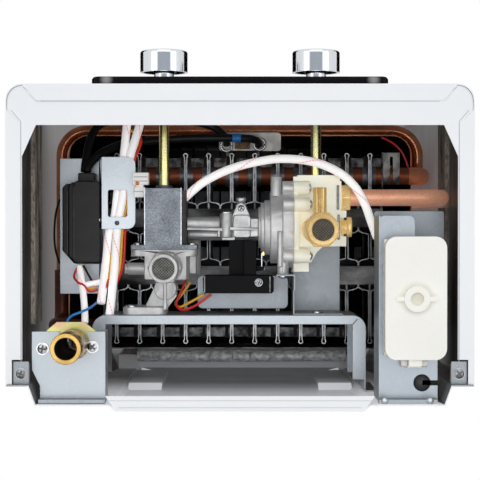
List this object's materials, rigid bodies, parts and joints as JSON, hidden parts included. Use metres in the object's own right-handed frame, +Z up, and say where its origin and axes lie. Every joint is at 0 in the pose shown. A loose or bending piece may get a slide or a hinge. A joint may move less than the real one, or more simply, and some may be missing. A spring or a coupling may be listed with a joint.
{
  "type": "tankless gas water heater",
  "caption": "Wall-hung gas water heater with sheet casing open below, burner, copper coil, gas and water valves, control knobs, pipe stubs and battery box.",
  "frame": {"origin": "on the wall plane behind the back plate, level with the lower rim of the cover, midway across the casing", "axes": "+Z up, +Y into the wall, +X to the right for someone facing the front"},
  "size_m": [0.33, 0.2644, 0.642],
  "materials": {
    "white_enamel": "smooth baked enamel",
    "panel_black": "black gloss",
    "knob_metal": "satin plated",
    "yellow_zinc": "yellow passivated zinc",
    "steel_screw": "zinc plated",
    "galvanised": "galvanised sheet",
    "fibre": "fibre strip",
    "copper": "drawn copper",
    "burner_steel": "stainless sheet",
    "dark_steel": "dark sheet",
    "cast_alloy": "as cast",
    "mesh": "wire screen",
    "black_plastic": "moulded",
    "white_plastic": "moulded",
    "cream_plastic": "moulded",
    "brass": "machined",
    "ceramic": "glazed ceramic",
    "lead_black": "silicone insulation",
    "ivory_plastic": "moulded",
    "cell_jacket": "printed jacket",
    "sleeve_white": "braided glass fibre",
    "wire_coloured": "coloured insulation"
  },
  "bodies": {
    "casing": {"front_cover": "white_enamel", "bottom_frame": "white_enamel", "control_panel": "panel_black", "back_plate": "white_enamel", "casing_screws": "steel_screw", "side_pads": "fibre", "flue_hood": "galvanised", "flue_collar": "galvanised", "heat_exchanger": "copper", "combustion_chamber": "copper", "heating_coil": "copper", "burner_frame": "dark_steel", "burner_bars": "burner_steel", "gas_manifold": "cast_alloy", "cross_pipe": "copper", "pipe_clip": "steel_screw", "rear_bracket": "dark_steel", "gas_valve_body": "cast_alloy", "filter_screens": "mesh", "solenoid_frame": "galvanised", "solenoid_coil": "black_plastic", "solenoid_plug": "white_plastic", "link_housing": "cast_alloy", "water_valve_cover": "cast_alloy", "water_valve_body": "cream_plastic", "cold_inlet": "brass", "outlet_nut": "brass", "drain_plug": "brass", "valve_clips": "steel_screw", "cold_pipe": "copper", "valve_screws": "steel_screw", "valve_bridge": "galvanised", "valve_support": "galvanised", "microswitch": "black_plastic", "switch_box": "black_plastic", "switch_plate": "galvanised", "igniter_bracket": "galvanised", "igniter_box": "black_plastic", "electrode_bracket": "dark_steel", "electrodes": "ceramic", "ignition_leads": "lead_black", "hot_outlet": "brass", "outlet_flange": "yellow_zinc", "outlet_bracket": "galvanised", "outlet_screws": "steel_screw", "hot_pipe": "copper", "battery_bracket": "galvanised", "battery_box": "ivory_plastic", "battery_cells": "cell_jacket", "harness_sleeves": "sleeve_white", "harness_wires": "wire_coloured"},
    "gas_control": {"gas_knob": "knob_metal", "gas_shaft": "yellow_zinc"},
    "water_control": {"water_knob": "knob_metal", "water_shaft": "yellow_zinc"},
    "battery_door": {"battery_cover": "ivory_plastic"},
    "rod": {"push_rod": "yellow_zinc"},
    "lever": {"switch_lever": "steel_screw"}
  },
  "joints": [
    {"name": "gas_knob_turn", "type": "hinge", "parent": "casing", "child": "gas_control", "pos_m": [-0.0584, -0.25, 0.1], "axis": [0, -1, 0], "range_deg": [0, 180]},
    {"name": "water_knob_turn", "type": "hinge", "parent": "casing", "child": "water_control", "pos_m": [0.0584, -0.25, 0.1], "axis": [0, -1, 0], "range_deg": [0, 270]},
    {"name": "battery_cover_hinge", "type": "hinge", "parent": "casing", "child": "battery_door", "pos_m": [0.1228, -0.0332, 0.0046], "axis": [1, 0, 0], "range_deg": [0, 95]},
    {"name": "push_rod_slide", "type": "slide", "parent": "casing", "child": "rod", "axis": [-1, 0, 0], "range_m": [0, 0.0025], "stiffness_N_per_m": 400},
    {"name": "switch_lever_turn", "type": "hinge", "parent": "casing", "child": "lever", "pos_m": [0.0167, -0.097, 0.1], "axis": [0, 0, -1], "range_deg": [0, 15.2]}
  ],
  "couplings": [
    {"joint": "switch_lever_turn", "follows": "push_rod_slide", "rad_per_m": 104.72}
  ]
}
